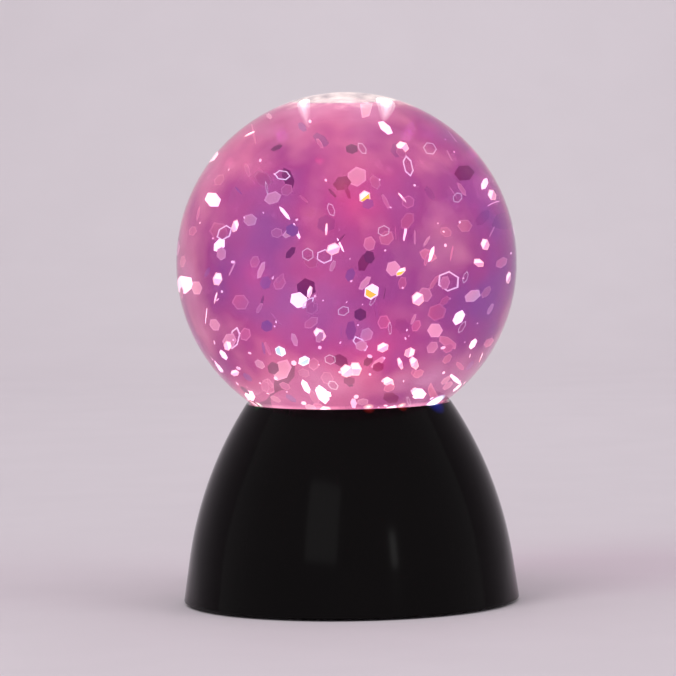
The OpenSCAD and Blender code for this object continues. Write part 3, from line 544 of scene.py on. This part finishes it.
outer = ball(GLOBE_R, 0, NECK_R, 120, upper=True)
inner = ball(GLOBE_IN, 0, NECK_IN, 120, upper=True)[::-1]
collar_z = SHELF_Z1 + COLLAR_T
globe_profile = np.concatenate([
    outer[:-1], corner(outer[-2], outer[-1], (NECK_R, collar_z), 0.8),
    [(NECK_R, collar_z)], corner((NECK_R, collar_z), (COLLAR_R, collar_z), (COLLAR_R, SHELF_Z1), 0.3),
    corner((COLLAR_R, collar_z), (COLLAR_R, SHELF_Z1), (NECK_R, SHELF_Z1), 0.3),
    [(NECK_R, SHELF_Z1), (NECK_R, NECK_Z0), (NECK_IN, NECK_Z0)],
    corner((NECK_IN, NECK_Z0), inner[0], inner[1], 0.8), inner[1:],
])


def glass(name, colour, ior, shine, tint, density, pass_colour):
    """Clear stuff with a tint that grows with depth. Wall and liquid touch, so each mirrors only the part
    shine of what it would mirror in air. Lamps reach what is inside through a see-through stand-in."""
    material = bpy.data.materials.new(name)
    material.use_nodes = True
    tree = material.node_tree
    shader = tree.nodes["Principled BSDF"]
    shader.inputs["Base Color"].default_value = (*colour, 1)
    shader.inputs["Transmission Weight"].default_value = 1.0
    shader.inputs["Roughness"].default_value = 0.0
    shader.inputs["IOR"].default_value = ior
    shader.inputs["Specular Tint"].default_value = (shine, shine, shine, 1)
    open_way = tree.nodes.new("ShaderNodeBsdfTransparent")
    open_way.inputs["Color"].default_value = (*pass_colour, 1)
    path = tree.nodes.new("ShaderNodeLightPath")
    either = tree.nodes.new("ShaderNodeMixShader")
    link(tree, path.outputs["Is Shadow Ray"], either.inputs["Fac"])
    link(tree, shader.outputs["BSDF"], either.inputs[1])
    link(tree, open_way.outputs["BSDF"], either.inputs[2])
    output = tree.nodes["Material Output"]
    link(tree, either.outputs["Shader"], output.inputs["Surface"])
    depth = tree.nodes.new("ShaderNodeVolumeAbsorption")
    depth.inputs["Color"].default_value = (*tint, 1)
    depth.inputs["Density"].default_value = density
    link(tree, depth.outputs["Volume"], output.inputs["Volume"])
    return material, tree, shader


PINK_TINT = (0.62, 0.02, 0.40)
# Colours of light painted into the wall's glow: at the seat, in the crown and where the red diodes' light
# shows.
SEAT_PINK, CROWN_LIGHT, HOT_PINK = (0.36, 0.15, 0.20), (0.12, 0.100, 0.085), (0.15, 0.014, 0.012)
# Pink glows of painted light from the red diodes, as (angle, distance from the axis, height from the
# globe's middle, size); each is repeated turned half round, behind.
PATCHES = ((-77, 44, -24, 19), (-88, 46, 19, 18), (-123, 50, -1, 12))
clear_wall, tree, shader = glass("clear_wall", (0.98, 0.95, 0.97), ior=1.49, shine=0.4, tint=PINK_TINT,
                                 density=16.0, pass_colour=(0.97, 0.93, 0.96))
# Painted light: a pink line of glow along the seat, broken up by noise.
seat_line = spread_range(tree, along(tree, "Z"), 0, 1, (BASE_H - 0.6) * MM, (BASE_H + 1.2) * MM)
line_colour = ramp(tree, seat_line, (0, DARK), (0.3, SEAT_PINK), (0.6, SEAT_PINK), (1, DARK))
line_glow = scaled(tree, line_colour, spread_range(tree, noise(tree, 160, 3), 0.1, 1.3))
# Painted glints: a spark glows in the wall over each flare, just inside the rim.
sparks = [(a, RIM_IN + 0.5, BASE_H + 0.7, size, spark) for a, (spark, _), size in FLARES]
patches = [(a + half, out, GLOBE_Z + z, size, HOT_PINK)
           for a, out, z, size in PATCHES for half in (0, 180)]
# Painted light: a white crown glows in the wall above the liquid's level, its lower edge and its strength
# broken up by noise.
crown_light_noise = noise(tree, 240, 3)
crown = spread_range(tree, plus_part(tree, along(tree, "Z"), crown_light_noise, 1.6 * MM), 0, 1,
                     (LIQUID_TOP + 0.6) * MM, (LIQUID_TOP + 1.5) * MM)
crown_colour = ramp(tree, crown, (0, DARK), (1, CROWN_LIGHT))
crown_glow = scaled(tree, crown_colour, spread_range(tree, crown_light_noise, 0.1, 2.3, 0.35, 0.65))
wall_glow = added(tree, added(tree, line_glow, glow_spots(tree, sparks + patches)), crown_glow)
link(tree, wall_glow, shader.inputs["Emission Color"])
shader.inputs["Emission Strength"].default_value = 1.0
piece("globe_shell_clear", [(lathe(globe_profile, SIDES), False, True)], clear_wall,
      "base", ["globe_shell"], crease=30)

# Liquid: tinted water up to a small pocket of air, with a meniscus round its edge.
# It wets the wall, so its skin lies just inside the wall's own, and it fills the neck round the impeller.
WET = 0.02
FILL_R = GLOBE_IN - 0.15
PLUG_Z, IMPELLER_R, IMPELLER_Z1 = 44.5, 12.5, 52.1
neck_fill = NECK_IN + WET
body = ball(GLOBE_IN + WET, 0, neck_fill, 150, upper=True)
body = body[body[:, 1] < LIQUID_TOP + 0.5]
s = np.linspace(0, 1, 24)
level = np.column_stack([body[0, 0] * s, LIQUID_TOP + (body[0, 1] - LIQUID_TOP) * s ** 14])
well_r, well_z = IMPELLER_R + 0.25, IMPELLER_Z1 + 0.25
liquid_profile = np.concatenate([
    level, body[1:],
    [(neck_fill, PLUG_Z + 0.15), (well_r, PLUG_Z + 0.15), (well_r, well_z), (0, well_z)],
])
pink_water, tree, shader = glass("pink_water", (0.5, 0.2, 0.4), ior=1.33, shine=0.1, tint=PINK_TINT,
                                 density=4.0, pass_colour=(0.90, 0.66, 0.82))
# Painted light: one noise cloud, raised towards the top and the bottom, sets both the tint and the glow.
# The glow is painted light from the diodes below; the tint's swirl of violet and pink is partly dye and
# partly painted light.
level_share = spread_range(tree, along(tree, "Z"), -1.1, 0.98,
                           (GLOBE_Z - GLOBE_R) * MM, (GLOBE_Z + GLOBE_R) * MM)
far = tree.nodes.new("ShaderNodeMath")
far.operation = "MULTIPLY"
link(tree, level_share, far.inputs[0])
link(tree, level_share, far.inputs[1])
swirl = plus_part(tree, noise(tree, 32, 3), far.outputs["Value"], 0.26)
water_tones = ((0.38, (0.34, 0.15, 0.44)), (0.54, (0.46, 0.12, 0.36)),
               (0.66, (0.60, 0.18, 0.36)), (0.82, (0.74, 0.28, 0.46)))
glow_tones = ((0.38, (0.050, 0.014, 0.090)), (0.54, (0.105, 0.014, 0.074)),
              (0.66, (0.255, 0.098, 0.146)), (0.82, (0.37, 0.21, 0.27)))
link(tree, ramp(tree, swirl, *water_tones), shader.inputs["Base Color"])
link(tree, ramp(tree, swirl, *glow_tones), shader.inputs["Emission Color"])
shader.inputs["Emission Strength"].default_value = 1.0
piece("liquid_pink_water", [(lathe(liquid_profile, SIDES), False, True)], pink_water,
      "swirl", ["liquid"], crease=40)

# Glitter: hexagons stamped from metallised film. Most drift through the liquid, some lie round the bottom
# of the globe and a few float. The light from below is painted on them as colour and glow: painted flashes
# on some, painted shade on others.
FLAKE_W, FLAKE_T = 3.0, 0.12
DRIFTING, SETTLED, FLOATING = 240, 70, 12
DUST, CHIPS = 80, 60
FLAKE_R = FLAKE_W / 2 / math.cos(math.radians(30))
MARGIN = 0.5
SETTLED_R = FILL_R - 1.4
SETTLED_FROM, SETTLED_TO = math.cos(math.radians(116)), math.cos(math.radians(152))
FLOAT_DROP, FLOAT_TILT = 0.5, 8
CHIP_RISE = 1.1
FLOAT_R = math.sqrt(FILL_R ** 2 - (LIQUID_TOP - GLOBE_Z) ** 2) - FLAKE_R - MARGIN
CLOUD_R = SETTLED_R - FLAKE_R - MARGIN
FLOAT_DIP = FLOAT_DROP + FLAKE_R * math.sin(math.radians(FLOAT_TILT))
CLOUD_TOP = LIQUID_TOP - FLOAT_DIP - GLOBE_Z - FLAKE_R - MARGIN
CLOUD_FLOOR = GLOBE_Z - IMPELLER_Z1 - 0.5 - FLAKE_R
GOLDEN = 137.508


def share(i, k):
    """Part after the point of 0.5 + i / g^k: spreads any count of points evenly without a pattern."""
    x = 0.5 + i / 1.22074408 ** k
    return x - np.floor(x)


def turn(x, y, z):
    """Rotation matrices about X, then Y, then Z, in degrees."""
    out = np.broadcast_to(np.eye(3), (len(x), 3, 3))
    for axis, angle in enumerate((x, y, z)):
        c, s = np.cos(np.radians(angle)), np.sin(np.radians(angle))
        step = np.zeros((len(x), 3, 3))
        p, q = (axis + 1) % 3, (axis + 2) % 3
        step[:, axis, axis] = 1
        step[:, p, p] = step[:, q, q] = c
        step[:, p, q], step[:, q, p] = -s, s
        out = step @ out
    return out


i = np.arange(DRIFTING)
out, lift = share(i, 1) ** (1 / 3), 1 - 2 * share(i, 2) ** 0.8
flat, a = out * CLOUD_R * np.sqrt(1 - lift ** 2), 2 * np.pi * share(i, 3)
drift_at = np.column_stack([flat * np.cos(a), flat * np.sin(a),
                            GLOBE_Z + out * lift * np.where(lift > 0, CLOUD_TOP, CLOUD_FLOOR)])
drift_turn = turn(90 + 50 * (2 * share(i, 5) - 1), 60 * (2 * share(i, 7) - 1), 360 * share(i, 6))
i = np.arange(SETTLED)
settled_fall = np.arccos(SETTLED_FROM + (SETTLED_TO - SETTLED_FROM) * (i + 0.5) / SETTLED)
settled_turn = turn(0 * i, np.degrees(settled_fall), GOLDEN * i)
settled_at = settled_turn[:, :, 2] * SETTLED_R + (0, 0, GLOBE_Z)
i = np.arange(FLOATING)
float_a, float_r = np.radians(GOLDEN * i), FLOAT_R * np.sqrt((i + 0.5) / FLOATING)
float_at = np.column_stack([float_r * np.cos(float_a), float_r * np.sin(float_a),
                            np.full(FLOATING, LIQUID_TOP - FLOAT_DROP)])
float_turn = turn(FLOAT_TILT * (2 * share(i, 4) - 1), 0 * i, GOLDEN * i)
i = np.arange(DUST)
dust_at = np.column_stack([flat[i] * np.cos(a[i] + 2), flat[i] * np.sin(a[i] + 2), drift_at[i, 2]])
dust_turn, dust_size = drift_turn[i], 0.10 + 0.14 * share(i, 8)
i = np.arange(CHIPS)
chip_fall = np.arccos(SETTLED_FROM + (SETTLED_TO - SETTLED_FROM) * (i + 0.5) / CHIPS)
chip_out = turn(0 * i, np.degrees(chip_fall), GOLDEN * i + GOLDEN / 2)
chip_at = chip_out[:, :, 2] * (SETTLED_R - CHIP_RISE) + (0, 0, GLOBE_Z)
chip_turn = chip_out @ turn(35 * (2 * share(i, 5) - 1), 35 * (2 * share(i, 7) - 1), 360 * share(i, 6))
flake_at = np.concatenate([drift_at, settled_at, float_at, dust_at, chip_at])
flake_turn = np.concatenate([drift_turn, settled_turn, float_turn, dust_turn, chip_turn])
flake_number = np.concatenate([np.arange(n) for n in (DRIFTING, SETTLED, FLOATING)]
                              + [np.zeros(DUST + CHIPS, int)])
chip_size = 0.25 + 0.25 * share(i, 8)
flake_size = np.concatenate([np.ones(DRIFTING + SETTLED + FLOATING), dust_size, chip_size])
flake_depth = (LIQUID_TOP - flake_at[:, 2]) / (LIQUID_TOP - BASE_H)

hexagon = np.radians(np.arange(6) * 60)
ring = np.column_stack([np.cos(hexagon), np.sin(hexagon)]) * FLAKE_R
RIM_SHARE = 0.84
LIT_WATER = (0.54, 0.22, 0.42)
inside, half_t = ring * RIM_SHARE, FLAKE_T / 2
loops = [(inside, half_t), (ring, half_t), (ring, -half_t), (inside, -half_t)]
flake_points = np.concatenate([np.column_stack([loop, np.full(6, z)]) for loop, z in loops])
k = np.arange(6)
k2 = (k + 1) % 6
flake_quads = np.concatenate([np.stack([low + k, low + 6 + k, low + 6 + k2, low + k2], 1)
                              for low in (0, 6, 12)])
flake_caps = np.array([[0, 1, 2, 3], [0, 3, 4, 5], [21, 20, 19, 18], [23, 22, 21, 18]])
flake_faces = np.concatenate([flake_quads, flake_caps])
flake_rim = np.concatenate([np.ones(18), np.zeros(4)])
flake_half = np.concatenate([np.zeros(18), [0, 1, 0, 1]])


def film(name, see_through=False):
    """Flakes of film: the colour and the painted light, as glow, of each face are its own values, and so is
    how far see-through film covers what lies behind it."""
    material = bpy.data.materials.new(name)
    material.use_nodes = True
    tree = material.node_tree
    shader = tree.nodes["Principled BSDF"]
    shader.inputs["Roughness"].default_value = 0.3
    shader.inputs["Specular IOR Level"].default_value = 0.1
    readings = [("film_colour", "Color", "Base Color"), ("film_glow", "Color", "Emission Color")]
    if see_through:
        readings.append(("film_cover", "Fac", "Alpha"))
    for attribute, output, target in readings:
        reader = tree.nodes.new("ShaderNodeAttribute")
        reader.attribute_name = attribute
        link(tree, reader.outputs[output], shader.inputs[target])
    shader.inputs["Emission Strength"].default_value = 1.0
    return material


def flakes(name, replaced, digits, style):
    """One object of all flakes whose number, counted in tens, is in digits. The style gives each of their
    faces its colour, glow and cover from two shares by chance, luck and tone."""
    chosen = np.isin(flake_number % 10, digits)
    at, spin = flake_at[chosen], flake_turn[chosen]
    count = len(at)
    size = flake_size[chosen][:, None, None]
    points = np.einsum("nij,pj->npi", spin, flake_points) * size + at[:, None]
    faces = flake_faces[None] + (np.arange(count) * len(flake_points))[:, None, None]
    mesh = bpy.data.meshes.new(name)
    mesh.from_pydata(points.reshape(-1, 3) * MM, [], faces.reshape(-1, 4))
    index = np.flatnonzero(chosen)
    rim, half = np.tile(flake_rim, (count, 1)), np.tile(flake_half, (count, 1))
    luck, tone = (share(index, k)[:, None] + 0 * rim for k in (9, 4))
    colour, glow, cover = style(index, luck, tone, rim, half)
    for label, kind, values in (("film_colour", "FLOAT_COLOR", colour), ("film_glow", "FLOAT_COLOR", glow),
                                ("film_cover", "FLOAT", cover)):
        layer = mesh.attributes.new(label, kind, "FACE")
        if kind == "FLOAT":
            layer.data.foreach_set("value", values.reshape(-1).astype(np.float32))
        else:
            full = np.concatenate([values, np.ones(values.shape[:2] + (1,))], -1)
            layer.data.foreach_set("color", full.reshape(-1).astype(np.float32))
    mesh.materials.append(film(name))
    clear = cover.reshape(-1) < 1
    if clear.any():
        mesh.materials.append(film(name + "_clear", see_through=True))
        mesh.polygons.foreach_set("material_index", clear.astype(np.int32))
    return placed(name, mesh, "swirl", replaced)


def blend(a, b, t):
    """Straight mix of two colours by a share per face."""
    return np.asarray(a) + (np.asarray(b) - np.asarray(a)) * t[..., None]


def pick(*cases):
    """The colour of the first case whose mask holds at each face; the last case has no mask."""
    *masked, rest = cases
    out = np.broadcast_to(np.asarray(rest, float), masked[0][0].shape + (3,))
    for mask, colour in masked[::-1]:
        out = np.where(mask[..., None], colour, out)
    return out


def thin(colour, glow, cover):
    """Colour and glow of film so thin that only the share cover is its own; for the rest its glow is
    painted as that of the lit water behind it."""
    return colour * cover[..., None], blend(LIT_WATER, glow, cover)


def between(luck, *spans):
    """Where luck lies in any of some narrow spans, which picks out single flakes."""
    return np.any([(luck > low) & (luck < high) for low, high in spans], axis=0)


def silver(index, luck, tone, rim, half):
    """Mirror film with painted light. A fifth of the flakes at the top and two thirds at the bottom flash
    white, many of them on one half more than on the other, and a few gold or ice blue: painted highlights
    in their colour and glow. The small specks all carry painted glints. The others glow pale pink, or are
    clear with a painted bright outline."""
    deep = flake_depth[index][:, None]
    flash_share = 0.18 + 0.48 * deep
    edge, second, soft = rim > 0.5, half > 0.5, tone < 0.5
    # Painted glints on every small speck, and painted flashes on the flakes picked by luck and depth.
    glinting_specks = (flake_size[index] < 1)[:, None] & (rim > -1)
    white = ((luck < flash_share) | between(luck, (0.530, 0.557))) & (deep > 0.10) | glinting_specks
    pale = luck < 0.65 + 0.35 * flash_share
    gold = between(luck, (0.228, 0.231), (0.254, 0.258), (0.543, 0.546))
    ice = between(luck, (0.526, 0.529), (0.211, 0.213))
    cream = blend((1.1, 1.0, 0.75), (2.3, 2.4, 1.9), tone)
    pale_pink = blend((0.50, 0.50, 0.40), (0.90, 1.05, 0.74), tone)
    # Each face's glow is painted light, case by case: flashes, gold and ice glints, bright outlines, pale
    # lit film and a faint rest.
    glow = pick((glinting_specks, (1.4, 1.6, 1.3)), (gold & second, (1.5, 2.0, 0.02)),
                (ice & second, (0.50, 2.0, 1.4)), (ice, (1.5, 3.0, 2.4)),
                (white & edge & soft, (1.5, 1.6, 0.9)), (white & second & soft, cream),
                (white, (2.6, 3.2, 2.5)), (pale & edge, (1.0, 1.1, 0.95)), (pale, pale_pink),
                (edge, (1.1, 1.8, 1.4)), (0.05, 0.02, 0.03))
    colour = pick((gold & second, (0.9, 0.5, 0.02)), (ice, (0.35, 0.70, 0.78)),
                  (white, (0.95, 0.92, 0.93)), (pale, (0.80, 0.62, 0.68)), (0.60, 0.50, 0.60))
    clear_cover = np.where(edge, np.where(soft, 0.3, 0.75), 0.12)
    colour, glow = thin(colour, glow, np.where(pale & ~white, 0.35 + 0.45 * tone, 1.0))
    return colour, glow, np.where(white | pale, 1.0, clear_cover)


def rose(index, luck, tone, rim, half):
    """Pink film with the light that comes through it painted as glow, and an outline made paler by painted
    light.
    """
    colour = blend((0.78, 0.34, 0.46), (0.90, 0.60, 0.68), rim)
    film_glow = blend((0.46, 0.14, 0.18), (0.50, 0.42, 0.34), tone)
    glow = blend(film_glow, film_glow + (0.16, 0.20, 0.18), rim) * (0.4 + 1.0 * luck)[..., None]
    return *thin(colour, glow, np.where(rim > 0.5, 0.5, 0.25 + 0.3 * tone)), 1 + 0 * rim


def violet(index, luck, tone, rim, half):
    """Painted shade: flakes darkened as if turned away from the light, half of them dark violet or dark
    red, the others thin and lavender; both kinds glow a little as painted light."""
    dark = luck < 0.5
    colour = blend((0.012, 0.002, 0.03), (0.06, 0.004, 0.04), tone)
    dark_glow = blend((0.018, 0.0, 0.06), (0.20, 0.0, 0.10), tone)
    glow = pick((dark, dark_glow), blend((0.03, 0.14, 0.46), (0.20, 0.02, 0.20), tone))
    return *thin(colour, glow, np.where(dark, 0.95, 0.5)), 1 + 0 * rim


flakes("silver_flakes_film", ["silver_flakes"], [0, 2, 5, 7, 9], silver)
flakes("rose_flakes_film", ["rose_flakes"], [1, 4, 8], rose)
flakes("violet_flakes_film", ["violet_flakes"], [3, 6], violet)

# Studio: a pale sweep that runs up behind the lamp, soft light from both sides, two long ceiling strips
# that mirror in the crown of the globe, and two faint panels in front that mirror in the base's gloss.
# Each strip is three layers of falling breadth, a little apart, so that its edges are soft.
PALE = (0.74, 0.695, 0.73)
SWEEP_FAR, SWEEP_BACK, SWEEP_R, SWEEP_TOP = 6000, 900, 600, 3200
sweep_a = np.linspace(0, np.pi / 2, 24)
bow = np.column_stack([SWEEP_BACK + SWEEP_R * np.sin(sweep_a), SWEEP_R - SWEEP_R * np.cos(sweep_a)])
sweep = np.concatenate([[(-SWEEP_FAR, 0)], bow, [(SWEEP_BACK + SWEEP_R, SWEEP_TOP)]])
sides = np.array([-SWEEP_FAR, SWEEP_FAR])
floor_grid = np.stack([np.column_stack([sides, np.full(2, y), np.full(2, z)]) for y, z in sweep])
mesh = bpy.data.meshes.new("studio_sweep")
mesh.from_pydata(floor_grid.reshape(-1, 3) * MM, [], patch(floor_grid, False, False))
mesh.polygons.foreach_set("use_smooth", np.ones(len(mesh.polygons), bool))
mesh.materials.append(finish("pale_paper", PALE, 0.9, grain=300, relief=0, drift=0.01, level=0.0))
sweep_object = bpy.data.objects.new("studio_sweep", mesh)
bpy.context.scene.collection.objects.link(sweep_object)

world = bpy.data.worlds.new("studio_air")
bpy.context.scene.world = world
world.use_nodes = True
tree = world.node_tree
air = tree.nodes["Background"]
air.inputs["Color"].default_value = (*PALE, 1)
path = tree.nodes.new("ShaderNodeLightPath")
seen = path.outputs["Is Camera Ray"]
for kind in ("Is Glossy Ray", "Is Transmission Ray"):
    either = tree.nodes.new("ShaderNodeMath")
    either.operation = "MAXIMUM"
    link(tree, seen, either.inputs[0])
    link(tree, path.outputs[kind], either.inputs[1])
    seen = either.outputs["Value"]
link(tree, spread_range(tree, seen, 0.85, 1.0, 0, 1), air.inputs["Strength"])


def lamp(name, at, aim, size, power, mirrored, shape="ELLIPSE", only=None):
    """A soft light that faces a point, shows in gloss or doesn't, and may light only the pieces of one
    collection."""
    data = bpy.data.lights.new(name, "AREA")
    data.shape = shape
    data.size, data.size_y = size
    data.energy = power
    thing = bpy.data.objects.new(name, data)
    bpy.context.scene.collection.objects.link(thing)
    thing.visible_camera = False
    thing.visible_glossy = mirrored
    thing.visible_transmission = False
    thing.light_linking.receiver_collection = only
    thing.location = at
    thing.rotation_euler = (Vector(aim) - Vector(at)).to_track_quat("-Z", "Y").to_euler()


AIM = (0, 0, 0.08)
lamp("key_light", (-0.9, -0.9, 1.2), AIM, (0.8, 0.8), 7, False)
lamp("fill_light", (1.1, -0.7, 0.8), AIM, (0.9, 0.9), 3.5, False)
SOFT_LAYERS = ((1.6, 1.05, 0.36, 0.580), (1.0, 1.0, 0.22, 0.578), (0.5, 0.93, 0.10, 0.576))
for name, x, y, wide, long, power in (("strip_light_left", -0.129, 0.79, 0.028, 1.22, 0.46),
                                      ("strip_light_right", 0.137, 0.825, 0.042, 1.15, 0.82)):
    for layer, (breadth, reach, part, z) in enumerate(SOFT_LAYERS):
        size = (wide * breadth, long * reach)
        lamp(f"{name}_{layer}", (x, y, z), (x, y + 0.001, 0), size, power * part, True)
gloss_only = bpy.data.collections.new("gloss_only")
gloss_only.objects.link(base_shell)
PANEL_AWAY = 2.0
for name, side, up_angle, size, power in (("panel_light_left", -22, 26, (0.80, 0.85), 2.1),
                                          ("panel_light_right", 31, 17, (0.15, 0.36), 0.6)):
    side, up_angle = math.radians(side), math.radians(up_angle)
    level_way = Vector((math.sin(side), -math.cos(side), 0)) * math.cos(up_angle)
    way = level_way + Vector((0, 0, math.sin(up_angle)))
    lamp(name, PANEL_AWAY * way, (0, 0, 0), size, power, True, "RECTANGLE", gloss_only)

# Camera: a long lens a little above the globe's middle, with the slight lean that the photograph has.
TARGET, DISTANCE = Vector((-0.00285, 0, 0.07776)), 1.341
DOWN, LEAN, WIDTH = math.radians(3.615), math.radians(-0.89), 0.1987
SENSOR = 36
view = bpy.data.cameras.new("camera")
view.sensor_width = SENSOR
view.lens = SENSOR * DISTANCE / WIDTH
view.clip_end = 20
camera = bpy.data.objects.new("camera", view)
bpy.context.scene.collection.objects.link(camera)
eye = TARGET - DISTANCE * Vector((0, math.cos(DOWN), -math.sin(DOWN)))
nod, roll = Matrix.Rotation(math.pi / 2 - DOWN, 4, "X"), Matrix.Rotation(LEAN, 4, "Z")
camera.matrix_world = Matrix.Translation(eye) @ nod @ roll
bpy.context.scene.camera = camera
bpy.context.scene.view_settings.view_transform = "Standard"
